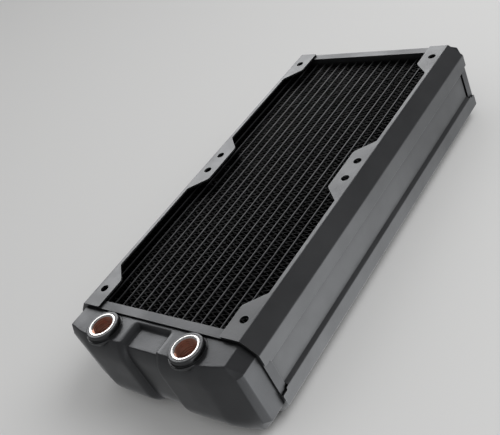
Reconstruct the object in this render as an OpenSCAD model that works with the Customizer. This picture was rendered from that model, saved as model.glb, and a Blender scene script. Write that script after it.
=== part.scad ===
// Liquid cooling radiator for two 120 mm fans, built from formed sheet, flat tubes and corrugated fins.
// Frame: X across the width, Y along the length with the two threaded ports at the -Y end, Z up.
// Origin: centre of the fan-hole pattern, on the underside of the bottom flanges. Units are millimetres.

/* [Side frames] */
// overall width across the two side frames
body_width = 133; // [131:0.5:136]
// overall thickness, bottom flange face to top flange face
body_height = 54; // [52:0.5:58]
// length of the side frames
frame_length = 250; // [249:0.5:252]
// sheet thickness of the side frames and header plates
sheet = 1.2; // [1:0.1:1.3]
// 45 degree bevel between flange and side wall
bevel = 8; // [7:0.25:9]
// half height of the pressed-in band along each side
band_half = 10; // [8:0.5:11]
// depth of the pressed-in band
band_depth = 2; // [1.8:0.1:2.1]
// half height of the open notch at each end of a side wall
end_notch_half = 11.4; // [11:0.1:12.5]

/* [Fan mounting] */
// spacing of the fan screw holes of one fan
fan_hole_spacing = 105; // [104.5:0.1:105.5]
// distance between neighbouring holes of the two fans
fan_gap = 15; // [14:0.5:16]
// fan screw hole diameter
fan_hole_d = 5; // [3.4:0.1:5.4]
// distance from the centre line to the inner edge of a screw tab
tab_inner = 45.6; // [45:0.1:46.5]
// half length of the inner edge of a middle tab
mid_tab_half = 15.5; // [14:0.5:17]
// length of the inner edge of a corner tab
corner_tab = 20.5; // [19:0.5:22]

/* [Core] */
// number of flat water tubes
tube_count = 18; // [18:1:18]
// centre distance of neighbouring tubes
tube_pitch = 6.72; // [6.66:0.01:6.74]
// thickness of a flat tube
tube_t = 1.2; // [1.1:0.1:1.8]
// wall thickness of a flat tube
tube_wall = 0.3; // [0.25:0.05:0.4]
// depth of a flat tube, top nose to bottom nose
tube_depth = 42.6; // [40:0.2:42.8]
// length of a fin leg along the core, sixteen legs to the inch
fin_pitch = 1.5875; // [1.5:0.0125:2.2]
// thickness of the fin ribbon
fin_t = 0.26; // [0.2:0.02:0.4]

/* [Tanks] */
// wall thickness of the two tanks
tank_wall = 1.2; // [1:0.1:1.4]
// reach of the port tank beyond the side frames at its edges
tank_reach = 15.6; // [15:0.2:16.5]
// how far the flat front of each lobe stands forward of the outer corners
lobe_swell = 6.8; // [5.8:0.2:6.8]
// depth of the middle groove of the port tank
groove_depth = 3; // [2.6:0.2:3.4]
// half width of the groove floor
groove_half = 11.4; // [10.5:0.25:12]
// reach of the return tank beyond the side frames
return_reach = 7.6; // [6.6:0.2:9]

/* [Ports] */
// distance of a port axis from the centre line
port_x = 31.5; // [30.5:0.25:32.5]
// distance of the port axes from the ends of the side frames
port_out = 10.6; // [10.4:0.1:11]
// outer diameter of the raised collar
collar_d = 19.2; // [18.6:0.2:19.4]
// diameter of the flange at the foot of a collar, flush with the tank top
foot_d = 21.6; // [21.2:0.1:22]
// outer diameter of the threaded bushing
bushing_d = 15.6; // [15:0.2:16]
// core diameter of the quarter inch parallel pipe thread
thread_core_d = 11.45; // [11.2:0.05:11.6]
// mouth diameter of the thread's lead-in
thread_mouth_d = 13.1; // [12.8:0.1:13.3]

/* [Show] */
// part to draw, or all of them

/* [Hidden] */
$fn = 64;
gap = 0.05;        // clearance between neighbouring parts
half_width = body_width / 2;
half_height = body_height / 2;
half_length = frame_length / 2;
mid_z = half_height;

// colours
frame_colour = [0.16, 0.165, 0.17];
header_colour = [0.15, 0.155, 0.16];
tank_colour = [0.14, 0.145, 0.15];
divider_colour = [0.6, 0.5, 0.25];
bushing_colour = [0.72, 0.4, 0.3];
plate_colour = [0.25, 0.25, 0.26];
tube_colour = [0.32, 0.32, 0.33];
fin_colour = [0.07, 0.07, 0.075];

// header plates and tanks nest inside the side frames, each one sheet and one gap further in
nest_step = sheet + gap;
bevel_loss = 2 - sqrt(2);    // what the leg of a 45 degree bevel loses per unit of inset
head_half_x = half_width - nest_step;
head_half_z = half_height - nest_step;
head_bevel = bevel - nest_step * bevel_loss;
head_in = half_length - 5.4;    // face of a header plate towards the core, as a distance along Y
head_out = head_in + sheet;
tank_half_x = head_half_x - nest_step;
tank_half_z = head_half_z - nest_step;
tank_bevel = head_bevel - nest_step * bevel_loss;
tank_root = head_out + gap;     // where both tanks begin, as a distance along Y

// ---------- helpers ----------
function mix(a, b, t) = a + (b - a) * t;
function part(v, a, b) = (v - a) / (b - a);    // share of the way from a to b
function rev(list) = [for (i = [len(list) - 1 : -1 : 0]) list[i]];
function flip(points) = [for (p = points) [p[0], -p[1]]];
// a line of points followed by its mirror image below the middle, traced backwards
function mirrored(points) = concat(points, rev(flip(points)));
function octagon(a, b, cut) = [[a - cut, b], [a, b - cut], [a, cut - b], [a - cut, -b],
                               [cut - a, -b], [-a, cut - b], [-a, b - cut], [cut - a, b]];

// extrudes an XZ section, drawn about mid height, from y0 to y1
module along_y(y0, y1, x = 0) {
    translate([x, y1, mid_z]) rotate([90, 0, 0]) linear_extrude(y1 - y0) children();
}

// extrudes a YZ section, drawn about mid height, over a width centred on X = 0
module across_x(width) {
    translate([-width / 2, 0, mid_z]) rotate([90, 0, 90]) linear_extrude(width) children();
}

// eight-sided bar along Y
module octagon_bar(half_x, half_z, cut, y0, y1) {
    along_y(y0, y1) polygon(octagon(half_x, half_z, cut));
}

// ---------- side frames ----------
bend_shift = sheet * tan(22.5);    // shift of the inner corner at a 45 degree bend
rim_x = half_width - bevel - 2.4;  // inner edge of the flanges between the tabs
tab_overlap = 0.3;                 // how far a tab runs into its flange
hole_x = fan_hole_spacing / 2;
hole_y1 = fan_gap / 2;
hole_y2 = hole_y1 + fan_hole_spacing;
notch_x = half_width - 6;
notch_w = 8;
band_notch_l = 7.6;                // length of the cutters that end the band
band_notch_ports = 5.8;            // how far they reach in at the -Y end
band_notch_return = 6.6;           // and at the +Y end
end_notch_in = 4;                  // reach of the taller notches
end_notch_over = 1;                // their overshoot past the frame end

// upper half of the right-hand section, rim to band floor: outer line, then inner line
outer_line = [[rim_x, half_height],
              [half_width - bevel, half_height],
              [half_width, half_height - bevel],
              [half_width, band_half],
              [half_width - band_depth, band_half - band_depth]];
inner_line = [[rim_x, half_height - sheet],
              [half_width - bevel - bend_shift, half_height - sheet],
              [half_width - sheet, half_height - bevel - bend_shift],
              [half_width - sheet, band_half + bend_shift],
              [half_width - sheet - band_depth, band_half - band_depth + bend_shift]];

// one middle tab and two corner tabs, with 45 degree sides
module tab_plan() {
    outer = rim_x + tab_overlap;
    run = outer - tab_inner;
    polygon([[tab_inner, mid_tab_half], [outer, mid_tab_half + run],
             [outer, -mid_tab_half - run], [tab_inner, -mid_tab_half]]);
    for (end = [-1, 1])
        polygon([[tab_inner, end * half_length],
                 [outer, end * half_length],
                 [outer, end * (half_length - corner_tab - run)],
                 [tab_inner, end * (half_length - corner_tab)]]);
}

module wall_notch(y0, length, half) {
    translate([notch_x, y0, mid_z - half]) cube([notch_w, length, 2 * half]);
}

module side_frame() {
    end_notch_l = end_notch_in + end_notch_over;
    difference() {
        union() {
            along_y(-half_length, half_length)
                polygon(concat(mirrored(outer_line), mirrored(flip(inner_line))));
            linear_extrude(sheet) tab_plan();
            translate([0, 0, body_height - sheet]) linear_extrude(sheet) tab_plan();
        }
        for (y = [-hole_y2, -hole_y1, hole_y1, hole_y2])
            translate([hole_x, y, -1]) cylinder(r = fan_hole_d / 2, h = body_height + 2);
        // the band stops short of the header lips
        wall_notch(half_length - band_notch_return, band_notch_l, band_half);
        wall_notch(band_notch_ports - half_length - band_notch_l, band_notch_l, band_half);
        // a taller notch steps the wall back at each end
        wall_notch(half_length - end_notch_in, end_notch_l, end_notch_half);
        wall_notch(-half_length - end_notch_over, end_notch_l, end_notch_half);
    }
}

module right_side_frame() color(frame_colour) side_frame();
module left_side_frame() color(frame_colour) mirror([1, 0, 0]) side_frame();

// ---------- water tubes ----------
tube_end = 1.6;    // how far a tube stands out of a header plate

function tube_x(i) = (i - (tube_count + 1) / 2) * tube_pitch;

module flat_oval(thickness, depth) {
    square([thickness, depth - thickness], center = true);
    for (end = [-1, 1]) translate([0, end * (depth - thickness) / 2]) circle(r = thickness / 2);
}

module water_tube(i) {
    along_y(-head_out - tube_end, head_out + tube_end, tube_x(i)) difference() {
        flat_oval(tube_t, tube_depth);
        flat_oval(tube_t - 2 * tube_wall, tube_depth - 2 * tube_wall);
    }
}

// ---------- header plates ----------
// slotted tray at the +Y end, its lip turned outward to the end of the side frames
module header_plate() {
    difference() {
        octagon_bar(head_half_x, head_half_z, head_bevel, head_in, half_length);
        octagon_bar(head_half_x - sheet, head_half_z - sheet, head_bevel - sheet * bevel_loss,
                    head_out, half_length + 1);
        for (i = [1 : tube_count])
            along_y(head_in - 1, head_out + 1, tube_x(i))
                flat_oval(tube_t + 2 * gap, tube_depth + 2 * gap);
    }
}

module return_header_plate() color(header_colour) header_plate();
module supply_header_plate() color(header_colour) mirror([0, 1, 0]) header_plate();

// ---------- core side plates ----------
plate_t = 0.9;
plate_half_z = 20;
plate_half_y = head_in - 0.1;
plate_out = half_width - band_depth - sheet - gap;    // outer face, against the band

module core_side_plate() {
    translate([plate_out - plate_t, -plate_half_y, mid_z - plate_half_z])
        cube([plate_t, 2 * plate_half_y, 2 * plate_half_z]);
}

module right_core_plate() color(plate_colour) core_side_plate();
module left_core_plate() color(plate_colour) mirror([1, 0, 0]) core_side_plate();

// ---------- fins ----------
fin_w = tube_pitch - tube_t - 2 * gap;
edge_fin_in = tube_x(tube_count) + tube_t / 2 + gap;
edge_fin_out = plate_out - plate_t - gap;
fin_inset = 0.3;      // distance of the fin edges from the tube noses
fin_end_gap = 1.1;    // least distance of the last crest from a header plate
fin_legs = floor(2 * (head_in - fin_end_gap) / fin_pitch);
crest_flat = 0.36;    // length of the flat on each crest

function unit(v) = v / norm(v);
function left_of(v) = [-v[1], v[0]];
// centre line of a ribbon, two points to each crest
function fold_line(x0, x1) = [for (k = [0 : fin_legs]) for (end = [-1, 1])
    [k % 2 == 0 ? x0 + fin_t / 2 : x1 - fin_t / 2,
     (k - fin_legs / 2) * fin_pitch + end * crest_flat / 2]];
// parallel line with mitred corners, shifted to the left by d
function offset_line(line, d) = [for (i = [0 : len(line) - 1])
    let(before = unit(i > 0 ? line[i] - line[i - 1] : line[1] - line[0]),
        after = i < len(line) - 1 ? unit(line[i + 1] - line[i]) : before,
        mitre = unit(left_of(before) + left_of(after)))
    line[i] + mitre * d / (mitre * left_of(before))];

// corrugated ribbon whose crests lie on x0 and x1
module ribbon(x0, x1) {
    line = fold_line(x0, x1);
    translate([0, 0, mid_z - tube_depth / 2 + fin_inset])
        linear_extrude(tube_depth - 2 * fin_inset)
            polygon(concat(offset_line(line, -fin_t / 2), rev(offset_line(line, fin_t / 2))));
}

// strip i lies on the -X side of tube i; the first and last strips meet the core plates
module fin_strip(i) {
    if (i == 1) ribbon(-edge_fin_out, -edge_fin_in);
    else if (i == tube_count + 1) ribbon(edge_fin_in, edge_fin_out);
    else {
        middle = tube_x(i) - tube_pitch / 2;
        ribbon(middle - fin_w / 2, middle + fin_w / 2);
    }
}

// ---------- port tank ----------
// The tank is lofted across the width from closed sections in the YZ plane. A section point is
// [distance from the centre towards -Y, height above mid height]. "dist" is the distance of a
// section from the centre line, "inset" shrinks it to the inner skin, and "lobe" is 0 on the
// groove floor and 1 on a lobe.
edge_y = half_length + tank_reach - 1.1;    // front plane at the outer corners
side_y = edge_y - 3.4;                      // front plane at the side walls
corner_x = tank_half_x - 3.2;
top_x = tank_half_x - tank_bevel;           // outer edge of the top face
full_x = groove_half + 4;                   // where a lobe reaches full height
lobe_flat_x = 43;                           // outer edge of the flat front of a lobe
shoulder_x = 49;                            // between the flat front and the top face's outer edge
lobe_inner_x = 24;                          // between the groove and the port
crease_z = 10;                              // half height of the flat front of a lobe
corner_z = 16.5;                            // height at which the corner cut meets the front plane
groove_top_y = edge_y + 1.3;                // front of the groove at its top edge
groove_mid_y = edge_y + 3.5;                // and at mid height
edge_cut = 0.35;                            // small bevel along the top front edge
ramp_start = half_length + 2.2;             // slope from the root down to the groove floor
ramp_end = half_length + 3.8;
ramp_inset = 0.6;                           // share of the inset applied to the slope
front_steps = 5;
front_power = 2.6;                          // how quickly the front swells below its top edge

// [dist, y]: top front edge, bowed forward past the port
top_edge = [[groove_half + 1.6, edge_y + 1.3], [full_x, edge_y + 2.1], [port_x, edge_y + 2.4],
            [lobe_flat_x, edge_y + 2.3], [shoulder_x, edge_y + 1.3], [top_x, edge_y - 0.9]];
// [dist, y]: front at mid height, with flat lobe, sloping outer part and corner facet
mid_front = [[full_x, edge_y + lobe_swell], [lobe_flat_x, edge_y + lobe_swell - 1],
             [corner_x, edge_y], [tank_half_x, side_y]];
// [dist, z]: upper edge of the flat front
crease = [[lobe_flat_x, crease_z], [corner_x, crease_z + 3.5]];
// [dist, lobe, shift in dist per unit of inset]
half_stations = [[groove_half, 0, 0.6],
                 [groove_half + 0.8, 0.5, 0.6],
                 [groove_half + 1.5, 0.8, 0.6],
                 [groove_half + 2.4, 0.95, 0.6],
                 [full_x, 1, 0.6],
                 [lobe_inner_x, 1, 0],
                 [port_x, 1, 0],
                 [lobe_flat_x, 1, 0],
                 [shoulder_x, 1, 0],
                 [top_x, 1, -0.4],
                 [corner_x, 1, -0.6],
                 [tank_half_x, 1, -1]];

function top_height(dist) = dist <= top_x ? tank_half_z : tank_half_z - (dist - top_x);
function swell(t) = 1 - pow(1 - t, front_power);
// where the corner cut leaves the top face or the 45 degree side bevel
function cut_from(dist, height, y) =
    [(dist <= top_x ? y : mix(lookup(top_x, top_edge), side_y, part(dist, top_x, tank_half_x)))
     - edge_cut, height];
// where the corner cut meets the front
function cut_to(dist, height, y) =
    dist <= top_x ? [y, height - edge_cut]
    : dist <= corner_x ? let(t = part(dist, top_x, corner_x))
        [mix(y, edge_y, t), mix(tank_half_z - edge_cut, corner_z, t)]
    : let(t = part(dist, corner_x, tank_half_x))
        [mix(edge_y, side_y, t), mix(corner_z, tank_half_z - tank_bevel - edge_cut, t)];

// upper half of a section, from the root over the top and down the front
function half_section(dist, inset, lobe) =
    let(root_h = top_height(dist),
        height = mix(tank_half_z - groove_depth, root_h, lobe),
        y_top = mix(groove_top_y, lookup(dist, top_edge), lobe),
        y_mid = mix(groove_mid_y, lookup(dist, mid_front), lobe),
        z_low = lookup(dist, crease),
        from = cut_from(dist, height, y_top),
        to = cut_to(dist, height, y_top))
    concat([[tank_root, root_h - inset],
            [ramp_start - inset * ramp_inset, root_h - inset],
            [ramp_end - inset * ramp_inset, height - inset],
            [from[0] - inset, from[1] - inset]],
           [for (k = [0 : front_steps]) let(t = k / front_steps)
               [mix(to[0], y_mid, swell(t)) - inset, mix(to[1] - inset, z_low, t)]]);
function section(dist, inset, lobe) = mirrored(half_section(dist, inset, lobe));

// stations over the whole width: [x, dist, lobe]
function stations(inset) =
    let(half = [for (s = half_stations) [s[0] + inset * s[2], s[0], s[1]]])
    concat([for (s = rev(half)) [-s[0], s[1], s[2]]], half);
function skin_points(inset) = [for (s = stations(inset)) for (p = section(s[1], inset, s[2]))
    [s[0], -p[0], mid_z + p[1]]];
function quad(a, b, c, d) = [[a, b, c], [a, c, d]];

module tank_skin() {
    half_count = len(half_stations);
    count = 2 * half_count;
    n = len(section(0, 0, 0));    // points in one section
    last = (count - 1) * n;       // first point of the last section
    inner = count * n;            // first point of the inner skin
    // each quad is cut along the diagonal that mirrors about the centre line
    side = [for (i = [0 : count - 2]) for (j = [0 : n - 2])
        let(a = i * n + j, b = a + n)
        each i < half_count ? quad(b, b + 1, a + 1, a) : quad(a, b, b + 1, a + 1)];
    cap = concat([[0, 1, n - 2], [0, n - 2, n - 1], [1, 2, n - 3], [1, n - 3, n - 2],
                  [2, n - 4, n - 3]],
                 [for (j = [3 : n - 5]) [2, j, j + 1]]);
    outer_faces = concat(side, cap, [for (f = cap) [for (k = rev(f)) last + k]]);
    inner_faces = [for (f = outer_faces) [for (k = rev(f)) inner + k]];
    // the rim at the header plate joins the two skins: top, bottom, then the two ends
    rim = concat([for (i = [0 : count - 2]) let(a = i * n, b = a + n)
                     each quad(a, inner + a, inner + b, b)],
                 [for (i = [0 : count - 2]) let(a = i * n + n - 1, b = a + n)
                     each quad(a, b, inner + b, inner + a)],
                 quad(0, n - 1, inner + n - 1, inner),
                 quad(last, inner + last, inner + last + n - 1, last + n - 1));
    polyhedron(points = concat(skin_points(0), skin_points(tank_wall)),
               faces = concat(outer_faces, inner_faces, rim), convexity = 8);
}

// ---------- ports ----------
collar_top = body_height + 0.4;
collar_bevel = 0.7;
foot_top = mid_z + tank_half_z;
foot_low = foot_top - 1.1;
cone_low = body_height - 9.8;          // lower end of collar and bushing
cone_r = thread_core_d / 2 + 1.5;      // cone radius at its lower end
neck_r = thread_core_d / 2 + 0.8;      // bushing radius below its step
step_z = body_height - 5;              // seat of the bushing in the collar
bushing_top = collar_top + 0.2;
bushing_bevel = 0.25;

// side is -1 for the inlet and 1 for the outlet
module at_port(side) {
    translate([side * port_x, -half_length - port_out, 0]) children();
}

// opening in the tank for the collar's foot and cone
module port_pocket() {
    pocket_r = foot_d / 2 + gap;
    translate([0, 0, foot_low - 0.01]) cylinder(r = pocket_r, h = 12);
    translate([0, 0, cone_low - gap])
        cylinder(r1 = cone_r + gap, r2 = pocket_r, h = foot_low - cone_low + gap);
}

// ring on a flange let into the tank top, with a cone below
module collar() {
    ring_r = collar_d / 2;
    bore_r = bushing_d / 2 + gap;
    rotate_extrude() polygon([[neck_r + gap, cone_low], [cone_r, cone_low],
                              [foot_d / 2, foot_low], [foot_d / 2, foot_top],
                              [ring_r, foot_top], [ring_r, collar_top - collar_bevel],
                              [ring_r - collar_bevel, collar_top], [bore_r, collar_top],
                              [bore_r, step_z], [neck_r + gap, step_z]]);
}

module bushing() {
    head_r = bushing_d / 2;
    core_r = thread_core_d / 2;
    mouth_r = thread_mouth_d / 2;
    rotate_extrude() polygon([[core_r, cone_low], [neck_r, cone_low],
                              [neck_r, step_z + gap], [head_r, step_z + gap],
                              [head_r, bushing_top - bushing_bevel],
                              [head_r - bushing_bevel, bushing_top], [mouth_r, bushing_top],
                              [core_r, bushing_top - (mouth_r - core_r)]]);
}

module inlet_port_collar() color(tank_colour) at_port(-1) collar();
module outlet_port_collar() color(tank_colour) at_port(1) collar();
module inlet_port_bushing() color(bushing_colour) at_port(-1) bushing();
module outlet_port_bushing() color(bushing_colour) at_port(1) bushing();

module supply_tank() {
    color(tank_colour) difference() {
        tank_skin();
        for (side = [-1, 1]) at_port(side) port_pocket();
    }
}

// wall inside the port tank that parts the inlet half from the outlet half
divider_t = 1.5;
divider_inset = tank_wall + 0.1;
module flow_divider() {
    color(divider_colour) across_x(divider_t)
        polygon([for (p = section(0, divider_inset, 0)) [-p[0], p[1]]]);
}

// ---------- return tank ----------
return_cut = 5;    // 45 degree cut around the outer end

module return_body(inset, root) {
    a = tank_half_x - inset;
    b = tank_half_z - inset;
    end = half_length + return_reach - inset;
    cut = return_cut - inset * bevel_loss;
    intersection() {
        octagon_bar(a, b, tank_bevel - inset * bevel_loss, root, end);
        translate([0, 0, -1]) linear_extrude(body_height + 2)
            polygon([[-a, root - 1], [a, root - 1], [a, end - cut],
                     [a - cut, end], [cut - a, end], [-a, end - cut]]);
        across_x(body_width)
            polygon([[root - 1, -b], [end - cut, -b], [end, cut - b],
                     [end, b - cut], [end - cut, b], [root - 1, b]]);
    }
}

module return_tank() {
    color(tank_colour) difference() {
        return_body(0, tank_root);
        return_body(tank_wall, tank_root - 2);
    }
}

// ---------- numbered nodes, counted from -X to +X ----------
module water_tube_01() color(tube_colour) water_tube(1);
module water_tube_02() color(tube_colour) water_tube(2);
module water_tube_03() color(tube_colour) water_tube(3);
module water_tube_04() color(tube_colour) water_tube(4);
module water_tube_05() color(tube_colour) water_tube(5);
module water_tube_06() color(tube_colour) water_tube(6);
module water_tube_07() color(tube_colour) water_tube(7);
module water_tube_08() color(tube_colour) water_tube(8);
module water_tube_09() color(tube_colour) water_tube(9);
module water_tube_10() color(tube_colour) water_tube(10);
module water_tube_11() color(tube_colour) water_tube(11);
module water_tube_12() color(tube_colour) water_tube(12);
module water_tube_13() color(tube_colour) water_tube(13);
module water_tube_14() color(tube_colour) water_tube(14);
module water_tube_15() color(tube_colour) water_tube(15);
module water_tube_16() color(tube_colour) water_tube(16);
module water_tube_17() color(tube_colour) water_tube(17);
module water_tube_18() color(tube_colour) water_tube(18);

module fin_strip_01() color(fin_colour) fin_strip(1);
module fin_strip_02() color(fin_colour) fin_strip(2);
module fin_strip_03() color(fin_colour) fin_strip(3);
module fin_strip_04() color(fin_colour) fin_strip(4);
module fin_strip_05() color(fin_colour) fin_strip(5);
module fin_strip_06() color(fin_colour) fin_strip(6);
module fin_strip_07() color(fin_colour) fin_strip(7);
module fin_strip_08() color(fin_colour) fin_strip(8);
module fin_strip_09() color(fin_colour) fin_strip(9);
module fin_strip_10() color(fin_colour) fin_strip(10);
module fin_strip_11() color(fin_colour) fin_strip(11);
module fin_strip_12() color(fin_colour) fin_strip(12);
module fin_strip_13() color(fin_colour) fin_strip(13);
module fin_strip_14() color(fin_colour) fin_strip(14);
module fin_strip_15() color(fin_colour) fin_strip(15);
module fin_strip_16() color(fin_colour) fin_strip(16);
module fin_strip_17() color(fin_colour) fin_strip(17);
module fin_strip_18() color(fin_colour) fin_strip(18);
module fin_strip_19() color(fin_colour) fin_strip(19);

left_side_frame();
right_side_frame();
supply_header_plate();
return_header_plate();
supply_tank();
return_tank();
flow_divider();
inlet_port_collar();
outlet_port_collar();
inlet_port_bushing();
outlet_port_bushing();
left_core_plate();
right_core_plate();
water_tube_01();
water_tube_02();
water_tube_03();
water_tube_04();
water_tube_05();
water_tube_06();
water_tube_07();
water_tube_08();
water_tube_09();
water_tube_10();
water_tube_11();
water_tube_12();
water_tube_13();
water_tube_14();
water_tube_15();
water_tube_16();
water_tube_17();
water_tube_18();
fin_strip_01();
fin_strip_02();
fin_strip_03();
fin_strip_04();
fin_strip_05();
fin_strip_06();
fin_strip_07();
fin_strip_08();
fin_strip_09();
fin_strip_10();
fin_strip_11();
fin_strip_12();
fin_strip_13();
fin_strip_14();
fin_strip_15();
fin_strip_16();
fin_strip_17();
fin_strip_18();
fin_strip_19();
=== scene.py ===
"""Liquid-cooling radiator, lying flat on a pale studio floor.

The tubes run along Y and the thickness is Z, mirrored about z = 27 mm. Folded side frames close the
core at +X and -X. The supply tank, with two threaded ports opening upwards, is at the -Y end.
Lengths are in millimetres unless a comment says metres; meshes are scaled to metres.
"""
import math
import bpy
import bmesh
import numpy as np
from mathutils import Matrix, Vector
from mathutils.geometry import delaunay_2d_cdt


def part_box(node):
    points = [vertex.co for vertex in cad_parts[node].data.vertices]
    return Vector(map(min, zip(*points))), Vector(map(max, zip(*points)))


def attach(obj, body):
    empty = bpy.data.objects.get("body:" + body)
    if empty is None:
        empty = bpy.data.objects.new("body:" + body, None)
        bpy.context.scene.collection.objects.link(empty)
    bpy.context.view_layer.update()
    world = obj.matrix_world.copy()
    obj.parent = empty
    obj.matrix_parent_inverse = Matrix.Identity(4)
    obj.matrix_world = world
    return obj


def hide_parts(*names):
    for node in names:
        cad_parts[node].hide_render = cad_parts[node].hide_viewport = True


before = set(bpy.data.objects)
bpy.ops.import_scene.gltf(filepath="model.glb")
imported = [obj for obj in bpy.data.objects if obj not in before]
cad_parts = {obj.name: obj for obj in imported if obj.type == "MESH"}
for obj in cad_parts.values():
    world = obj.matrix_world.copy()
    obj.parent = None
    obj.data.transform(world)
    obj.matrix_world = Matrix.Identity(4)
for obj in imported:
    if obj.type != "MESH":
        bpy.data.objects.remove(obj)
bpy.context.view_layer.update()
scene = bpy.context.scene

MM = 0.001
MID_Z = 27.0  # height of the mid-plane
PORT_X, PORT_Y = 31.5, -135.6  # port axes stand at +PORT_X and -PORT_X

# ------------------------------------------------------------------ shader helpers


def feed(tree, target, inputs):
    """Link or set each input of a node, by name or index."""
    for key, value in inputs.items():
        if isinstance(value, bpy.types.NodeSocket):
            tree.links.new(value, target.inputs[key])
        else:
            target.inputs[key].default_value = value


def node(tree, kind, inputs=None, **settings):
    made = tree.nodes.new(kind)
    for name, value in settings.items():
        setattr(made, name, value)
    feed(tree, made, inputs or {})
    return made


def find_node(tree, kind):
    return next(n for n in tree.nodes if n.type == kind)


def noise(tree, coords, scale, detail=3.0):
    inputs = {"Vector": coords, "Scale": scale, "Detail": detail, "Roughness": 0.55}
    return node(tree, "ShaderNodeTexNoise", inputs).outputs["Fac"]


def remap(tree, value, source, target=(0.0, 1.0), interpolation="LINEAR"):
    inputs = {
        "Value": value,
        "From Min": source[0],
        "From Max": source[1],
        "To Min": target[0],
        "To Max": target[1],
    }
    made = node(tree, "ShaderNodeMapRange", inputs, clamp=True, interpolation_type=interpolation)
    return made.outputs["Result"]


def mix_colour(tree, factor, a, b):
    """Mix two colours, each a socket or an RGB triple."""
    a, b = (c if isinstance(c, bpy.types.NodeSocket) else (*c, 1.0) for c in (a, b))
    # sockets 0, 6 and 7 are the float factor and the two colours; output 2 is the colour
    return node(tree, "ShaderNodeMix", {0: factor, 6: a, 7: b}, data_type="RGBA").outputs[2]


def calculate(tree, operation, a, b=0.0, clamp=True):
    made = node(tree, "ShaderNodeMath", {0: a, 1: b}, operation=operation, use_clamp=clamp)
    return made.outputs[0]


def scaled(colour, factor):
    return [c * factor for c in colour]


def bump(tree, height, strength, distance):
    inputs = {"Height": height, "Strength": strength, "Distance": distance}
    return node(tree, "ShaderNodeBump", inputs).outputs[0]


# ------------------------------------------------------------------ materials

NOISE_SPAN = (0.3, 0.7)  # noise values stretched to a full range
EDGE_RADIUS = 0.0004  # metres from an edge that count as worn and carry the painted highlight
EDGE_TURN = (0.01, 0.16)  # loss of normal alignment at which the wear and painted highlight start and are full
EDGE_WEAR_AND_HIGHLIGHT = (0.25, 0.8)  # least and most share of the lighter edge colour, for wear and painted highlight
PAINTED_CORNER_SHADE_LEVEL = 0.12  # paint brightness deep in a corner, a painted shade


def edge_wear_and_highlight(tree, coords):
    """Patchy mask that is high along edges, for worn paint and a painted highlight."""
    rounded = node(tree, "ShaderNodeBevel", {"Radius": EDGE_RADIUS}, samples=4).outputs[0]
    flat = node(tree, "ShaderNodeNewGeometry").outputs["True Normal"]
    dot = node(tree, "ShaderNodeVectorMath", {0: rounded, 1: flat}, operation="DOT_PRODUCT")
    turn = calculate(tree, "SUBTRACT", 1.0, dot.outputs["Value"], clamp=False)
    patches = remap(tree, noise(tree, coords, scale=160.0), source=(0.25, 0.65), target=EDGE_WEAR_AND_HIGHLIGHT)
    return calculate(tree, "MULTIPLY", remap(tree, turn, source=EDGE_TURN), patches)


def paint(name, colour, rough, metallic=0.9, edge=None, peel=0.12, peel_scale=900.0,
          rib_scale=None, corner_shade=None, core=None):
    """Blotchy paint with an orange-peel bump.

    edge is the worn edge colour, which is also a painted highlight; corner_shade is painted shade
    in corners;
    core is painted shade towards the mid-plane; rib_scale the scale of bump bands along Z.
    """
    material = bpy.data.materials.new(name)
    material.use_nodes = True
    tree = material.node_tree
    tree.nodes.clear()
    output = node(tree, "ShaderNodeOutputMaterial")
    shader = node(tree, "ShaderNodeBsdfPrincipled", {"Metallic": metallic})
    feed(tree, output, {"Surface": shader.outputs[0]})
    coords = node(tree, "ShaderNodeTexCoord").outputs["Object"]

    blotch = remap(tree, noise(tree, coords, scale=28.0, detail=4.0), source=NOISE_SPAN)
    base = mix_colour(tree, blotch, scaled(colour, 0.88), scaled(colour, 1.12))
    # lighter edges: partly worn paint, partly a painted highlight
    if edge:
        base = mix_colour(tree, edge_wear_and_highlight(tree, coords), base, edge)
    # painted shade: ambient occlusion darkens the paint in corners and recesses
    if corner_shade:
        inputs = {"Distance": corner_shade["reach"]}
        sky = node(tree, "ShaderNodeAmbientOcclusion", inputs, samples=6).outputs["AO"]
        unshaded = remap(tree, sky, source=corner_shade["sky"])
        base = mix_colour(tree, unshaded, scaled(colour, PAINTED_CORNER_SHADE_LEVEL), base)
    # painted shade: the paint darkens deep in the core, away from the outer faces
    if core:
        position = node(tree, "ShaderNodeNewGeometry").outputs["Position"]
        height = node(tree, "ShaderNodeSeparateXYZ", {0: position}).outputs[2]
        offset = calculate(tree, "SUBTRACT", height, MID_Z * MM, clamp=False)
        rise = calculate(tree, "ABSOLUTE", offset)
        outer = remap(tree, rise, source=core["rise"])
        base = mix_colour(tree, outer, scaled(colour, core["shade"]), base)

    gloss = remap(tree, noise(tree, coords, scale=60.0), source=NOISE_SPAN,
                  target=(rough - 0.06, rough + 0.06))
    relief = noise(tree, coords, scale=peel_scale, detail=2.0)
    if rib_scale:
        wave = node(tree, "ShaderNodeTexWave", {"Scale": rib_scale, "Vector": coords},
                    wave_type="BANDS", bands_direction="Z")
        faint = calculate(tree, "MULTIPLY", relief, 0.35)
        relief = calculate(tree, "MAXIMUM", faint, wave.outputs["Fac"])
    normal = bump(tree, relief, strength=peel, distance=0.0004)
    feed(tree, shader, {"Base Color": base, "Roughness": gloss, "Normal": normal})
    return material


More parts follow.
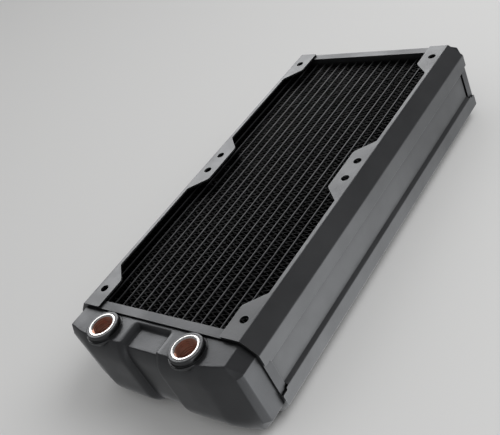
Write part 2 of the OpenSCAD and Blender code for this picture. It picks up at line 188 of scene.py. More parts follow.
def turned_metal(name, colour, dull, rough):
    """Bare metal with dull patches and a fine grain."""
    material = bpy.data.materials.new(name)
    material.use_nodes = True
    tree = material.node_tree
    coords = node(tree, "ShaderNodeTexCoord").outputs["Object"]
    patches = noise(tree, coords, scale=420.0, detail=4.0)
    dulling = remap(tree, patches, source=(0.35, 0.75), target=(0.0, 0.8))
    gloss = remap(tree, noise(tree, coords, scale=900.0), source=NOISE_SPAN,
                  target=(rough - 0.06, rough + 0.08))
    grain = noise(tree, coords, scale=2600.0, detail=2.0)
    feed(tree, find_node(tree, "BSDF_PRINCIPLED"), {
        "Base Color": mix_colour(tree, dulling, colour, dull),
        "Roughness": gloss,
        "Metallic": 1.0,
        "Normal": bump(tree, grain, strength=0.15, distance=0.0001),
    })
    return material


# reach: metres the painted shade spreads from a corner; sky: open share of sky where the painted
# shade is full and where it is gone
PAINTED_CORNER_SHADE = dict(reach=0.0045, sky=(0.42, 0.93))
COLLAR_PAINTED_CORNER_SHADE = dict(reach=0.007, sky=(0.5, 0.97))
# rise: metres from the mid-plane over which colour goes from shade times the paint to full; the
# darker paint deep in the core is a painted shade
TUBE_PAINTED_DEPTH_SHADE = dict(rise=(0.02085, 0.02115), shade=0.22)
FIN_PAINTED_DEPTH_SHADE = dict(rise=(0.0207, 0.02095), shade=0.035)

FRAME_PAINT = paint("powder_coat_frame", (0.138, 0.1405, 0.144), rough=0.38,
                    edge=(0.34, 0.345, 0.355), corner_shade=PAINTED_CORNER_SHADE)
TANK_PAINT = paint("powder_coat_tank", (0.105, 0.107, 0.111), rough=0.34,
                   edge=(0.27, 0.275, 0.28), corner_shade=PAINTED_CORNER_SHADE)
HEADER_PAINT = paint("powder_coat_header", (0.115, 0.117, 0.121), rough=0.4,
                     edge=(0.27, 0.275, 0.28), corner_shade=PAINTED_CORNER_SHADE)
COLLAR_PAINT = paint("powder_coat_collar", (0.120, 0.122, 0.126), rough=0.3,
                     edge=(0.3, 0.305, 0.31), corner_shade=COLLAR_PAINTED_CORNER_SHADE)
TUBE_PAINT = paint("tube_paint", (0.10, 0.101, 0.104), rough=0.36, peel=0.08,
                   peel_scale=1400.0, core=TUBE_PAINTED_DEPTH_SHADE)
FIN_PAINT = paint("fin_paint", (0.038, 0.0385, 0.0395), rough=0.42, metallic=0.92, peel=0.35,
                  peel_scale=1600.0, rib_scale=130.0, core=FIN_PAINTED_DEPTH_SHADE)
PLATE_PAINT = paint("core_plate_paint", (0.06, 0.061, 0.063), rough=0.5, metallic=0.85,
                    edge=(0.2, 0.2, 0.21))
BRASS = turned_metal("bare_brass", (0.62, 0.45, 0.2), dull=(0.4, 0.28, 0.12), rough=0.4)
COPPER = turned_metal("port_copper", (0.86, 0.46, 0.33), dull=(0.62, 0.31, 0.22), rough=0.36)
RIM_METAL = turned_metal("machined_rim", (0.93, 0.92, 0.90), dull=(0.84, 0.82, 0.79), rough=0.24)

# ------------------------------------------------------------------ mesh helpers


def shade(bm, sharp=32.0):
    """Smooth faces, with edges sharp from the given angle in degrees."""
    for face in bm.faces:
        face.smooth = True
    for edge in bm.edges:
        angle = edge.calc_face_angle(0.0)
        edge.smooth = len(edge.link_faces) == 2 and angle < math.radians(sharp)


def link_object(name, mesh):
    obj = bpy.data.objects.new(name, mesh)
    scene.collection.objects.link(obj)
    return obj


def make(name, verts, faces, materials, face_materials=None, sharp=32.0, dissolve=None,
         recalculate=False):
    """Mesh object from points in mm; dissolve welds it and merges faces flatter than that angle."""
    mesh = bpy.data.meshes.new(name)
    mesh.from_pydata([tuple(float(c) * MM for c in v) for v in verts], [], faces)
    bm = bmesh.new()
    bm.from_mesh(mesh)
    if face_materials:
        for face, index in zip(bm.faces, face_materials):
            face.material_index = index
    if dissolve:
        bmesh.ops.remove_doubles(bm, verts=bm.verts, dist=2e-7)
        bmesh.ops.dissolve_limit(bm, angle_limit=math.radians(dissolve), verts=bm.verts,
                                 edges=bm.edges)
    if recalculate:
        bmesh.ops.recalc_face_normals(bm, faces=bm.faces)
    shade(bm, sharp)
    bm.to_mesh(mesh)
    bm.free()
    for material in materials:
        mesh.materials.append(material)
    return link_object(name, mesh)


def own(obj, cad_node):
    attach(obj, "root")
    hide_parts(cad_node)


def bevel(obj, width, segments, angle):
    mod = obj.modifiers.new("edge_round", "BEVEL")
    mod.width = width * MM
    mod.segments = segments
    mod.limit_method = "ANGLE"
    mod.angle_limit = math.radians(angle)
    mod.use_clamp_overlap = True
    mod.miter_outer = "MITER_ARC"


def weight_normals(obj):
    mod = obj.modifiers.new("normals", "WEIGHTED_NORMAL")
    mod.keep_sharp = True
    mod.weight = 50


def lerp(a, b, t):
    return a + (b - a) * t


def circle(x, y, radius, count):
    angles = [2 * math.pi * k / count for k in range(count)]
    return [(x + radius * math.cos(a), y + radius * math.sin(a)) for a in angles]


def round_corners(points, setbacks, closed=True, steps=4):
    """Each corner becomes a short curve that starts and ends its setback away from it."""
    out = []
    count = len(points)
    for i, (point, setback) in enumerate(zip(points, setbacks)):
        p = np.array(point, float)
        if setback <= 0 or (not closed and i in (0, count - 1)):
            out.append(tuple(p))
            continue
        before = np.array(points[i - 1], float)
        after = np.array(points[(i + 1) % count], float)
        len_before, len_after = np.linalg.norm(before - p), np.linalg.norm(after - p)
        start = p + (before - p) / len_before * min(setback, 0.46 * len_before)
        end = p + (after - p) / len_after * min(setback, 0.46 * len_after)
        for k in range(steps + 1):
            t = k / steps
            out.append(tuple((1 - t) ** 2 * start + 2 * t * (1 - t) * p + t * t * end))
    return out


# ------------------------------------------------------------------ side frames

SHEET = 1.2
# outer skin of the folded section: x, z from the mid-plane, bend radius
SECTION = [
    (45.6, 27, 0), (58.5, 27, 1.7), (66.5, 19, 1.7), (66.5, 10, 1.35), (64.5, 8, 0.5),
    (64.5, -8, 0.5), (66.5, -10, 1.35), (66.5, -19, 1.7), (58.5, -27, 1.7), (45.6, -27, 0),
]
FRAME_END = 125  # half length along Y
STEP_Z = 11.4  # height at which the end steps back
STEP_Y = 121
NOTCH_POS_Y, NOTCH_NEG_Y = 118.4, 119.2  # ends of the channel between the steps
WINDOW_DEPTH = 10.5  # depth of the recesses in the flanges
HOLE_RADIUS, HOLE_INSET = 2.5, 6.0  # inset from the first bend
HOLE_Y = (-112.5, -7.5, 7.5, 112.5)
BEND_LINE_END = 126  # bend lines run past the sheet


class Fold:
    """Outer skin of a bent sheet, addressed by distance along its flat pattern."""

    def __init__(self, section):
        self.points = [np.array(row[:2], float) for row in section]
        self.radii = [row[2] for row in section]
        spans = [b - a for a, b in zip(self.points, self.points[1:])]
        self.directions = [span / np.linalg.norm(span) for span in spans]
        self.stops = [0.0]
        for span in spans:
            self.stops.append(self.stops[-1] + float(np.linalg.norm(span)))
        self.bends = range(1, len(section) - 1)
        self.tangents = [0.0] * len(section)
        self.turns = [0.0] * len(section)
        for i in self.bends:
            a, b = self.directions[i - 1], self.directions[i]
            turn = math.asin(max(-1, min(1, a[0] * b[1] - a[1] * b[0])))
            self.turns[i] = turn
            self.tangents[i] = self.radii[i] * math.tan(abs(turn) / 2)

    def at(self, distance):
        """Point of the skin and its outward normal."""
        for i in self.bends:
            tangent = self.tangents[i]
            if abs(distance - self.stops[i]) < tangent:
                fraction = (distance - self.stops[i] + tangent) / (2 * tangent)
                before = self.directions[i - 1]
                n0 = np.array([-before[1], before[0]])
                angle = fraction * self.turns[i]
                cos, sin = math.cos(angle), math.sin(angle)
                normal = np.array([n0[0] * cos - n0[1] * sin, n0[0] * sin + n0[1] * cos])
                start = self.points[i] - tangent * before
                radius = self.radii[i] if self.turns[i] < 0 else -self.radii[i]
                return start - n0 * radius + normal * radius, normal
        k = max(j for j in range(len(self.directions)) if distance >= self.stops[j] - 1e-9)
        d = self.directions[k]
        return self.points[k] + d * (distance - self.stops[k]), np.array([-d[1], d[0]])


def inside(points, polygon):
    """Which points lie inside the polygon, by crossing count."""
    x, y = points[:, 0], points[:, 1]
    result = np.zeros(len(points), bool)
    corners = np.array(polygon)
    for (x0, y0), (x1, y1) in zip(corners, np.roll(corners, -1, axis=0)):
        if y0 != y1:
            crosses = (y0 > y) != (y1 > y)
            result ^= crosses & (x < (x1 - x0) * (y - y0) / (y1 - y0) + x0)
    return result


def frame_outline(fold):
    """Closed outline of the flat pattern, as (distance along the fold, y)."""
    width = fold.stops[-1]
    step = fold.stops[2] + (SECTION[2][1] - STEP_Z)
    notch = fold.stops[3]
    # distance, y, corner setback
    steps = [(0, FRAME_END, 0.8), (step, FRAME_END, 0.55), (step, STEP_Y, 0.6),
             (notch, STEP_Y, 0.6)]
    pos_end = steps + [(notch, NOTCH_POS_Y, 0.8)]
    neg_end = steps + [(notch, NOTCH_NEG_Y, 0.8)]
    flange = [(width, 104.5, 1.2), (width - WINDOW_DEPTH, 94, 1.0),
              (width - WINDOW_DEPTH, 26, 1.0), (width, 15.5, 1.2)]
    far_side = [(width, FRAME_END, 0.8)] + flange

    def across(rows):
        return [(width - s, y, r) for s, y, r in rows]

    def flip_y(rows):
        return [(s, -y, r) for s, y, r in rows]

    path = pos_end + across(pos_end[:0:-1]) + far_side
    path += flip_y(far_side[::-1]) + flip_y(across(neg_end[1:])) + flip_y(neg_end[::-1])
    path += flip_y(across(flange)) + across(flange[::-1])
    outline = []
    for p in round_corners([row[:2] for row in path], [row[2] for row in path]):
        if not outline or math.dist(p, outline[-1]) > 1e-4:
            outline.append(p)
    if math.dist(outline[0], outline[-1]) < 1e-4:
        outline.pop()
    return outline


def frame_pattern(fold):
    """Flat pattern cut into triangles that follow the bend lines."""
    outline = frame_outline(fold)
    rows = (fold.stops[1] - HOLE_INSET, fold.stops[-1] - fold.stops[1] + HOLE_INSET)
    holes = [circle(s, y, HOLE_RADIUS, 48) for s in rows for y in HOLE_Y]
    points, edges = [], []
    for loop in [outline] + holes:
        k, count = len(points), len(loop)
        points.extend(Vector(p) for p in loop)
        edges.extend((k + i, k + (i + 1) % count) for i in range(count))
    for i in fold.bends:
        steps = 6 if fold.radii[i] > 1 else 4
        for j in range(steps + 1):
            s = fold.stops[i] + fold.tangents[i] * (2 * j / steps - 1)
            k = len(points)
            points.extend([Vector((s, -BEND_LINE_END)), Vector((s, BEND_LINE_END))])
            edges.append((k, k + 1))
    cut_points, _, cut_faces, _, _, _ = delaunay_2d_cdt(points, edges, [], 0, 1e-6)
    flat = np.array([tuple(p) for p in cut_points])
    tris = np.array([(f[0], f[j], f[j + 1]) for f in cut_faces for j in range(1, len(f) - 1)])
    centres = flat[tris].mean(axis=1)
    keep = inside(centres, outline)
    for hole in holes:
        keep &= ~inside(centres, hole)
    tris = tris[keep]
    # wind all triangles the same way and drop slivers
    a, b, c = flat[tris[:, 0]], flat[tris[:, 1]], flat[tris[:, 2]]
    ab, ac = b - a, c - a
    area = ab[:, 0] * ac[:, 1] - ab[:, 1] * ac[:, 0]
    tris[area < 0] = tris[area < 0][:, ::-1]
    tris = tris[np.abs(area) > 1e-9]
    used = np.unique(tris)
    new_index = {int(old): k for k, old in enumerate(used)}
    return flat[used], [tuple(new_index[int(i)] for i in t) for t in tris]


def side_frame(name, cad_node, side):
    """Fold the pattern, give it thickness and close its borders; side is +1 or -1 in X."""
    fold = Fold(SECTION)
    flat, tris = frame_pattern(fold)
    count = len(flat)
    outer, inner = [], []
    for s, y in flat:
        p, normal = fold.at(float(s))
        q = p - normal * SHEET
        outer.append((side * p[0], y, MID_Z + p[1]))
        inner.append((side * q[0], y, MID_Z + q[1]))
    faces = tris + [(count + t[0], count + t[2], count + t[1]) for t in tris]
    directed = {(t[i], t[(i + 1) % 3]) for t in tris for i in range(3)}
    for a, b in directed:
        if (b, a) not in directed:
            faces.append((b, a, count + a, count + b))
    if side < 0:
        faces = [tuple(reversed(f)) for f in faces]
    obj = make(name, outer + inner, faces, [FRAME_PAINT], dissolve=0.6)
    bevel(obj, width=0.24, segments=2, angle=50.0)
    weight_normals(obj)
    own(obj, cad_node)


side_frame("right_frame_panel", "right_side_frame", side=1)
side_frame("left_frame_panel", "left_side_frame", side=-1)

# ------------------------------------------------------------------ supply tank

# The tank is drawn for x >= 0 and z above the mid-plane; here y is the distance towards -Y.
TANK_END = 64.0
TANK_TOP = 24.5
CHAMFER = 6.535  # drop of the top at the tank ends
TOP_END = TANK_END - CHAMFER
CORNER_X = 60.8
EDGE_Y = 139.5
END_Y = EDGE_Y - 3.4
ROOT_Y = 120.85  # border towards the core
RAMP_Y = (127.2, 128.8)  # the central groove sinks between these
GROOVE_DEPTH, GROOVE_EDGE_Y, GROOVE_NOSE_Y = 3.0, 140.8, 143.0
TANK_WALL = 1.2
EDGE_CUT = 0.35  # cut taken off the top edge
BLUR = 0.35  # reach of the smoothing along X
END_ROUND = 0.4
NOSE_STEPS = 14
NOSE_POWER = 2.6  # fullness of the nose curve
TOP_EDGE_END_Y = 138.6
CORNER_Z = 16.5  # edge height at the corner

# each table: a row of x, then a row of values
TOP_EDGE = ((13.0, 15.4, 31.5, 43.0, 49.0, TOP_END),
            (140.8, 141.6, 141.9, 141.8, 140.8, TOP_EDGE_END_Y))
NOSE = ((15.4, 43.0, CORNER_X, TANK_END), (146.3, 145.3, EDGE_Y, END_Y))
CREASE = ((43.0, CORNER_X), (10.0, 13.5))
LOBE = ((11.4, 12.2, 12.9, 13.8, 15.4), (0.0, 0.5, 0.8, 0.95, 1.0))  # 0 is groove, 1 is lobe
STATIONS = [
    0, 5.5, 9.2, 10.4, 10.9, 11.15, 11.4, 11.65, 11.9, 12.2, 12.5, 12.8, 13.1, 13.4, 13.7, 14.1,
    14.6, 15.1, 15.7, 16.2, 16.6, 17.2, *np.linspace(19, 55.6, 16), 56.5, 56.9, 57.15, 57.4,
    57.65, 57.9, 58.3, 59.0, 59.8, 60.3, 60.55, 60.8, 61.05, 61.3, 61.8, 62.6,
]
# port hole: radius, z; it clears the collar by about 0.05
PORT_HOLE = [(0, 44.15), (7.275, 44.15), (10.85, 50.39), (10.85, 60), (0, 60)]


def table_curve(table):
    return lambda x: float(np.interp(x, *table))


top_edge_y, nose_y, crease_z, lobe_share = map(table_curve, (TOP_EDGE, NOSE, CREASE, LOBE))


def top_z(x):
    return TANK_TOP if x <= TOP_END else TANK_TOP - (x - TOP_END)


def cut_start_y(x):
    if x <= TOP_END:
        return top_edge_y(x) - EDGE_CUT
    return lerp(TOP_EDGE_END_Y, END_Y, (x - TOP_END) / (TANK_END - TOP_END)) - EDGE_CUT


def past_top(x, top, corner, end):
    """Value from the end of the top, through the corner, to the tank end."""
    if x <= CORNER_X:
        return lerp(top, corner, (x - TOP_END) / (CORNER_X - TOP_END))
    return lerp(corner, end, (x - CORNER_X) / (TANK_END - CORNER_X))


def cut_end_y(x):
    return top_edge_y(x) if x <= TOP_END else past_top(x, TOP_EDGE_END_Y, EDGE_Y, END_Y)


def cut_end_z(x):
    top = TANK_TOP - EDGE_CUT
    return top if x <= TOP_END else past_top(x, top, CORNER_Z, TANK_TOP - CHAMFER - EDGE_CUT)


def smoothed(curve, x):
    return sum(curve(max(0.0, x + BLUR * k / 6)) for k in range(-6, 7)) / 13.0


def tank_profile(x, inset):
    """Upper half of the section at x, as (y, z) from the root to the crease."""
    share = smoothed(lobe_share, x)
    curves = (top_z, cut_start_y, cut_end_y, cut_end_z, nose_y, crease_z)
    top, start_y, edge_y, edge_z, tip_y, crease = (smoothed(c, x) for c in curves)

    def rows(height, start_y, edge_y, edge_z, tip_y):
        out = [
            (ROOT_Y, top - inset),
            (RAMP_Y[0] - 0.6 * inset, top - inset),
            (RAMP_Y[1] - 0.6 * inset, height - inset),
            (start_y - inset, height - inset),
        ]
        for k in range(NOSE_STEPS + 1):
            t = k / NOSE_STEPS
            y = lerp(edge_y, tip_y, 1 - (1 - t) ** NOSE_POWER) - inset
            out.append((y, lerp(edge_z - inset, crease, t)))
        return out

    lobe = rows(top, start_y, edge_y, edge_z, tip_y)
    groove_z = TANK_TOP - GROOVE_DEPTH
    groove = rows(groove_z, GROOVE_EDGE_Y - EDGE_CUT, GROOVE_EDGE_Y, groove_z - EDGE_CUT,
                  GROOVE_NOSE_Y)
    profile = [(lerp(a[0], b[0], share), lerp(a[1], b[1], share)) for a, b in zip(groove, lobe)]
    edge = 0.5 if inset < 1 else 0.12
    head = round_corners(profile[:6], [0, 0.7, 0.7, edge, edge, 0], closed=False, steps=3)
    return head + profile[6:]


def tank_stations():
    """(x, inset) along the whole tank, with rounded ends."""
    half = [(float(x), 0.0) for x in STATIONS]
    for degrees in (0, 30, 60, 90):
        a = math.radians(degrees)
        half.append((TANK_END - END_ROUND + END_ROUND * math.sin(a),
                     END_ROUND * (1 - math.cos(a))))
    return [(-x, inset) for x, inset in reversed(half) if x > 0] + half


def tank_skin(wall):
    """Rings of points of the skin that lies wall inside the outer one."""
    rings = []
    for x, inset in tank_stations():
        ax = abs(x)
        upper = tank_profile(ax, inset + wall)
        ring = upper + [(y, -z) for y, z in reversed(upper)]
        if ax < 7:
            shifted = ax
        elif ax < 30:
            shifted = ax + 0.6 * wall
        else:
            shifted = lerp(ax + 0.6 * wall, ax - wall, (ax - 30) / (TANK_END - 30))
        rings.append([(math.copysign(shifted, x), -y, MID_Z + z) for y, z in ring])
    return rings


def finish_solid(bm, name):
    bmesh.ops.recalc_face_normals(bm, faces=bm.faces)
    mesh = bpy.data.meshes.new(name)
    bm.to_mesh(mesh)
    bm.free()
    return link_object(name, mesh)


def tank_blank():
    """Hollow tank, open towards the core, before the ports are cut."""
    outer, inner = tank_skin(0.0), tank_skin(TANK_WALL)
    n, m = len(outer[0]), len(outer)
    q = n * m  # first point of the inner skin
    faces = []
    for i in range(m - 1):
        a, b = i * n, (i + 1) * n
        for j in range(n - 1):
            quad = (a + j, b + j, b + j + 1, a + j + 1)
            faces.append((quad[0], quad[3], quad[2], quad[1]))
            faces.append(tuple(q + k for k in quad))
        faces.append((a, b, q + b, q + a))
        a, b = a + n - 1, b + n - 1
        faces.append((q + a, q + b, b, a))
    # end caps of both skins, then the strips that join them across the opening
    e = (m - 1) * n
    faces.append(tuple(range(n)))
    faces.append(tuple(q + k for k in reversed(range(n))))
    faces.append(tuple(e + k for k in reversed(range(n))))
    faces.append(tuple(q + e + k for k in range(n)))
    faces.append((0, q, q + n - 1, n - 1))
    faces.append((e, e + n - 1, q + e + n - 1, q + e))
    bm = bmesh.new()
    verts = [bm.verts.new([c * MM for c in p]) for ring in outer + inner for p in ring]
    for face in faces:
        bm.faces.new([verts[k] for k in face])
    return finish_solid(bm, "tank_blank")


def port_cutter(x, segments=96):
    bm = bmesh.new()
    rings = []
    for radius, z in PORT_HOLE:
        if radius == 0:
            rings.append([bm.verts.new((x * MM, PORT_Y * MM, z * MM))] * segments)
        else:
            rings.append([bm.verts.new((px * MM, py * MM, z * MM))
                          for px, py in circle(x, PORT_Y, radius, segments)])
    for a, b in zip(rings, rings[1:]):
        for k in range(segments):
            j = (k + 1) % segments
            corners = list(dict.fromkeys((a[k], a[j], b[j], b[k])))
            bm.faces.new(corners)
    return finish_solid(bm, "cut")


def clean_cut_mesh(mesh):
    bm = bmesh.new()
    bm.from_mesh(mesh)
    bmesh.ops.remove_doubles(bm, verts=bm.verts, dist=1.2e-5)
    bmesh.ops.dissolve_degenerate(bm, edges=bm.edges, dist=8e-6)
    bmesh.ops.triangulate(bm, faces=bm.faces)
    # a pair of triangles on the same three corners is a flap left by the cut
    bm.verts.index_update()
    twins = {}
    for face in bm.faces:
        twins.setdefault(frozenset(v.index for v in face.verts), []).append(face)
    flaps = [f for group in twins.values() if len(group) > 1 for f in group]
    if flaps:
        bmesh.ops.delete(bm, geom=flaps, context="FACES")
    bmesh.ops.delete(bm, geom=[v for v in bm.verts if not v.link_faces], context="VERTS")
    shade(bm)
    bm.to_mesh(mesh)
    bm.free()


def supply_tank():
    blank = tank_blank()
    cutters = [port_cutter(side * PORT_X) for side in (-1, 1)]
    for cutter in cutters:
        mod = blank.modifiers.new("cut", "BOOLEAN")
        mod.object = cutter
        mod.operation = "DIFFERENCE"
        mod.solver = "EXACT"
    bpy.context.view_layer.update()
    graph = bpy.context.evaluated_depsgraph_get()
    mesh = bpy.data.meshes.new_from_object(blank.evaluated_get(graph))
    for obj in [blank] + cutters:
        bpy.data.objects.remove(obj)
    mesh.name = "supply_tank_shell"
    clean_cut_mesh(mesh)
    mesh.materials.clear()
    mesh.materials.append(TANK_PAINT)
    obj = link_object("supply_tank_shell", mesh)
    weight_normals(obj)
    own(obj, "supply_tank")


supply_tank()

# ------------------------------------------------------------------ ports

PORT_BASE = 44.2
BUSHING_TOP = 54.6
# collar section: radius, z, corner setback
COLLAR = [
    (6.575, PORT_BASE, 0.1), (7.225, PORT_BASE, 0.15), (10.8, 50.4, 0.3), (10.8, 51.5, 0.35),
    (9.6, 51.5, 0.35), (9.6, 54.4, 0.9), (7.85, 54.4, 0.18), (7.85, 49.0, 0.1), (6.575, 49.0, 0.1),
]
# outside of the bushing, same columns
BUSHING = [
    (6.525, PORT_BASE, 0), (6.525, 49.05, 0.05), (7.8, 49.05, 0.1), (7.8, BUSHING_TOP, 0.32),
    (6.62, BUSHING_TOP, 0),
]
BORE_RADIUS = 5.725  # crest of the thread
FLARE_Z = 53.775  # the bore opens at 45 degrees above this
BORE_STEP = 0.11  # spacing of the bore rings
THREAD_PITCH = 1.337
THREAD_DEPTH = (0.46, 0.74)  # lower and upper part of the bore
DEPTH_CHANGE_Z = (49.1, 49.6)


def lathe(name, profile, materials, x, segments, bands=None, radius_at=None):
    """Turn a closed (radius, z) profile about a port axis; bands gives each edge's material."""
    n = len(profile)
    verts, faces = [], []
    for k in range(segments):
        angle = 2 * math.pi * k / segments
        for i, (r, z) in enumerate(profile):
            if radius_at:
                r = radius_at(i, r, z, angle)
            verts.append((x + r * math.cos(angle), PORT_Y + r * math.sin(angle), z))
    for k in range(segments):
        a, b = k * n, ((k + 1) % segments) * n
        for i in range(n):
            j = (i + 1) % n
            faces.append((a + i, b + i, b + j, a + j))
    obj = make(name, verts, faces, materials, bands and bands * segments, sharp=38.0,
               recalculate=True)
    weight_normals(obj)
    return obj


def collar(port, x):
    profile = round_corners([row[:2] for row in COLLAR], [row[2] for row in COLLAR], steps=6)
    obj = lathe(port + "_collar_ring", profile, [COLLAR_PAINT], x, segments=96)
    own(obj, port + "_port_collar")


def bushing(port, x):
    profile = round_corners([row[:2] for row in BUSHING], [row[2] for row in BUSHING],
                            closed=False, steps=5)
    first = len(profile)  # first point of the bore
    profile.append((6.55, BUSHING_TOP - 0.03))
    z = 54.5
    while z > 44.32:
        profile.append((max(BORE_RADIUS, BORE_RADIUS + z - FLARE_Z), z))
        z -= BORE_STEP
    profile.append((5.9, PORT_BASE))
    last = len(profile) - 1

    def threaded(i, r, z, angle):
        if i <= first or i == last:
            return r
        low, high = DEPTH_CHANGE_Z
        change = min(1.0, max(0.0, (z - low) / (high - low)))
        phase = (z / THREAD_PITCH - angle / (2 * math.pi)) % 1.0
        tooth = 1 - abs(2 * phase - 1)
        tooth = min(1.0, max(0.0, (tooth - 0.14) / 0.72))  # flat crests and roots
        return max(r, BORE_RADIUS + lerp(*THREAD_DEPTH, change) * tooth)

    bands = [1 if i > first + 4 else 0 for i in range(last + 1)]
    obj = lathe(port + "_threaded_bushing", profile, [RIM_METAL, COPPER], x, segments=120,
                bands=bands, radius_at=threaded)
    own(obj, port + "_port_bushing")


for build in (collar, bushing):
    build("inlet", -PORT_X)
    build("outlet", PORT_X)

# ------------------------------------------------------------------ fins

FIN_PITCH = 1.5875  # Y step of each leg of the zigzag
FIN_LEGS = int((2 * 119.0 - 1) // FIN_PITCH)
FIN_SHEET = 0.11
FIN_BEND = 0.42


def fin_strip(cad_node, name):
    """Zigzag ribbon that fills the box of its CAD piece."""
    lo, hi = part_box(cad_node)
    x0, x1, z0, z1 = lo.x / MM, hi.x / MM, lo.z / MM, hi.z / MM
    half = FIN_SHEET / 2
    line = [(x1 - half if k % 2 else x0 + half, (k - FIN_LEGS / 2) * FIN_PITCH)
            for k in range(FIN_LEGS + 1)]
    path = np.array(round_corners(line, [FIN_BEND] * len(line), closed=False))
    along = np.gradient(path, axis=0)
    along /= np.linalg.norm(along, axis=1)[:, None]
    normal = np.stack([-along[:, 1], along[:, 0]], axis=1)
    sides = [path + normal * FIN_SHEET / 2, path - normal * FIN_SHEET / 2]
    for side in sides:
        side[:, 0] = np.clip(side[:, 0], x0, x1)
    n = len(path)
    verts = [(x, y, z) for side in sides for z in (z0, z1) for x, y in side]
    faces = []
    for k in range(n - 1):
        faces.append((k, k + 1, n + k + 1, n + k))
        faces.append((2 * n + k + 1, 2 * n + k, 3 * n + k, 3 * n + k + 1))
        faces.append((n + k, n + k + 1, 3 * n + k + 1, 3 * n + k))
        faces.append((k + 1, k, 2 * n + k, 2 * n + k + 1))
    faces.append((0, n, 3 * n, 2 * n))
    faces.append((2 * n - 1, n - 1, 3 * n - 1, 4 * n - 1))
    own(make(name, verts, faces, [FIN_PAINT], sharp=50.0), cad_node)


for i in range(1, 20):
    fin_strip("fin_strip_%02d" % i, "fin_ribbon_%02d" % i)

# ------------------------------------------------------------------ CAD pieces kept as they are


def carried(cad_node, material, rounding=None):
    """Paint a CAD piece; with rounding, also merge its flat faces and bevel its edges."""
    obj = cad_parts[cad_node]
    obj.data.materials.clear()
    obj.data.materials.append(material)
    for face in obj.data.polygons:
        face.material_index = 0
    weld = obj.modifiers.new("weld", "WELD")
    weld.merge_threshold = 2e-6
    if rounding:
        planar = obj.modifiers.new("planar", "DECIMATE")
        planar.decimate_type = "DISSOLVE"
        planar.angle_limit = math.radians(1.0)
        bevel(obj, **rounding)
    weight_normals(obj)


for piece in ("supply_header_plate", "return_header_plate"):
    carried(piece, HEADER_PAINT, dict(width=0.22, segments=2, angle=25.0))
carried("return_tank", TANK_PAINT, dict(width=0.8, segments=3, angle=20.0))
for piece in ("left_core_plate", "right_core_plate"):
    carried(piece, PLATE_PAINT, dict(width=0.2, segments=2, angle=30.0))
carried("flow_divider", BRASS, dict(width=0.2, segments=2, angle=40.0))
for i in range(1, 19):
    carried("water_tube_%02d" % i, TUBE_PAINT)

# ------------------------------------------------------------------ floor (metres)

FLOOR_HALF, FLOOR_Z = 6, -0.0003
# Brightness of the floor in reflections: it rises with x + y, never falls below a least value
# that rises with y, and fades towards +Y. Each has its range in metres and its values.
GLOW_RISE = dict(source=(-0.126, -0.038), target=(0.0, 1.0))
GLOW_LEAST = dict(source=(-0.152, -0.115), target=(0.16, 0.5))
GLOW_FADE = dict(source=(-0.10, 0.12), target=(1.0, 0.5))
GLOW_GAIN = 1.45


def floor_glow(tree):
    position = node(tree, "ShaderNodeNewGeometry").outputs["Position"]
    x, y, _ = node(tree, "ShaderNodeSeparateXYZ", {0: position}).outputs
    diagonal = calculate(tree, "ADD", x, y, clamp=False)
    rise = remap(tree, diagonal, interpolation="SMOOTHSTEP", **GLOW_RISE)
    glow = calculate(tree, "MAXIMUM", rise, remap(tree, y, **GLOW_LEAST))
    glow = calculate(tree, "MULTIPLY", glow, remap(tree, y, **GLOW_FADE))
    return calculate(tree, "MULTIPLY", glow, GLOW_GAIN, clamp=False)


def floor_material():
    """Matt floor that glows only in reflections."""
    material = bpy.data.materials.new("studio_floor")
    material.use_nodes = True
    tree = material.node_tree
    matt = find_node(tree, "BSDF_PRINCIPLED")
    feed(tree, matt, {
        "Base Color": (0.72, 0.72, 0.715, 1),
        "Roughness": 0.85,
        "Specular IOR Level": 0.1,
    })
    glow = node(tree, "ShaderNodeEmission",
                {"Color": (0.98, 0.99, 1.0, 1), "Strength": floor_glow(tree)})
    glossy = node(tree, "ShaderNodeLightPath").outputs["Is Glossy Ray"]
    mixed = node(tree, "ShaderNodeMixShader", {0: glossy, 1: matt.outputs[0], 2: glow.outputs[0]})
    feed(tree, find_node(tree, "OUTPUT_MATERIAL"), {"Surface": mixed.outputs[0]})
    material.cycles.emission_sampling = "NONE"
    return material


floor_mesh = bpy.data.meshes.new("studio_floor")
floor_corners = [(x * FLOOR_HALF, y * FLOOR_HALF, FLOOR_Z)
                 for x, y in ((-1, -1), (1, -1), (1, 1), (-1, 1))]
floor_mesh.from_pydata(floor_corners, [], [(0, 1, 2, 3)])
floor = link_object("studio_floor", floor_mesh)
floor_mesh.materials.append(floor_material())

# ------------------------------------------------------------------ lights and world (metres)


def area_light(name, location, target, size, radiance):
    light = bpy.data.lights.new(name, "AREA")
    light.shape = "RECTANGLE"
    light.size, light.size_y = size
    light.energy = radiance * math.pi * size[0] * size[1]
    obj = bpy.data.objects.new(name, light)
    obj.location = location
    obj.rotation_mode = "QUATERNION"
    aim = Vector(target) - Vector(location)
    obj.rotation_quaternion = aim.to_track_quat("-Z", "Y")
    obj.visible_camera = False
    scene.collection.objects.link(obj)
    return obj


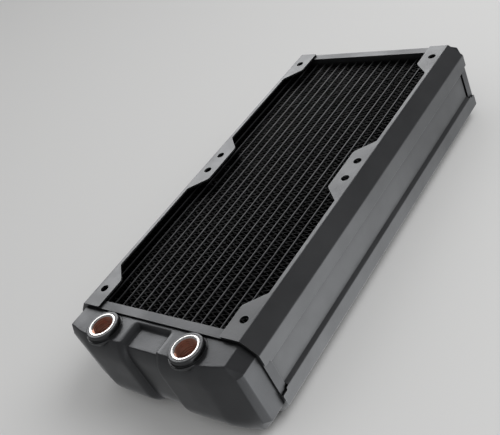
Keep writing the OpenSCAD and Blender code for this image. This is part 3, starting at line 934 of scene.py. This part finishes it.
# one light only for reflections, one only for diffuse light
reflected = area_light("soft_back_left", location=(-0.85, 0.75, 0.62), target=(0, 0, 0.04),
                       size=(1.3, 0.75), radiance=2.8)
reflected.visible_diffuse = False
key = area_light("soft_key", location=(0.75, 0.55, 1.0), target=(0, 0, 0), size=(0.9, 0.9),
                 radiance=3.5)
key.visible_glossy = False

# background colour for each kind of ray
CAMERA_SKY = (0.405, 0.405, 0.402, 1)
DIFFUSE_SKY = (0.55, 0.55, 0.55, 1)
GLOSSY_SKY = (0.16, 0.16, 0.165, 1)


def build_world():
    world = bpy.data.worlds.new("studio")
    scene.world = world
    world.use_nodes = True
    tree = world.node_tree
    tree.nodes.clear()
    camera_sky, diffuse_sky, glossy_sky = (
        node(tree, "ShaderNodeBackground", {"Color": colour}).outputs[0]
        for colour in (CAMERA_SKY, DIFFUSE_SKY, GLOSSY_SKY))
    rays = node(tree, "ShaderNodeLightPath").outputs
    unseen = node(tree, "ShaderNodeMixShader",
                  {0: rays["Is Glossy Ray"], 1: diffuse_sky, 2: glossy_sky})
    sky = node(tree, "ShaderNodeMixShader",
               {0: rays["Is Camera Ray"], 1: unseen.outputs[0], 2: camera_sky})
    node(tree, "ShaderNodeOutputWorld", {"Surface": sky.outputs[0]})


build_world()

# ------------------------------------------------------------------ camera

# Pose that takes object space to camera space (x right, y down, z forward): an axis times angle in
# radians and a shift in mm. Its origin is at the height of the frame tops.
POSE_TURN = Vector((2.22216160, 0.444517546, -0.758426108))
POSE_SHIFT = Vector((8.62971900, -31.1827411, 455.895898))
POSE_ORIGIN = Vector((0, 0, 2 * MID_Z))

camera_data = bpy.data.cameras.new("photo_camera")
camera = link_object("photo_camera", camera_data)
to_object = Matrix.Rotation(POSE_TURN.length, 3, POSE_TURN.normalized()).transposed()
camera_place = Matrix.Translation((POSE_ORIGIN - to_object @ POSE_SHIFT) * MM)
camera.matrix_world = camera_place @ (to_object @ Matrix.Diagonal((1, -1, -1))).to_4x4()
camera_data.sensor_fit = "HORIZONTAL"
camera_data.sensor_width = 36.0
camera_data.lens = 54.752521752
camera_data.shift_x = -0.026748234
camera_data.shift_y = 0.000247244
camera_data.clip_start = 0.01
camera_data.clip_end = 50.0
scene.camera = camera
scene.view_settings.view_transform = "Standard"
scene.view_settings.look = "None"
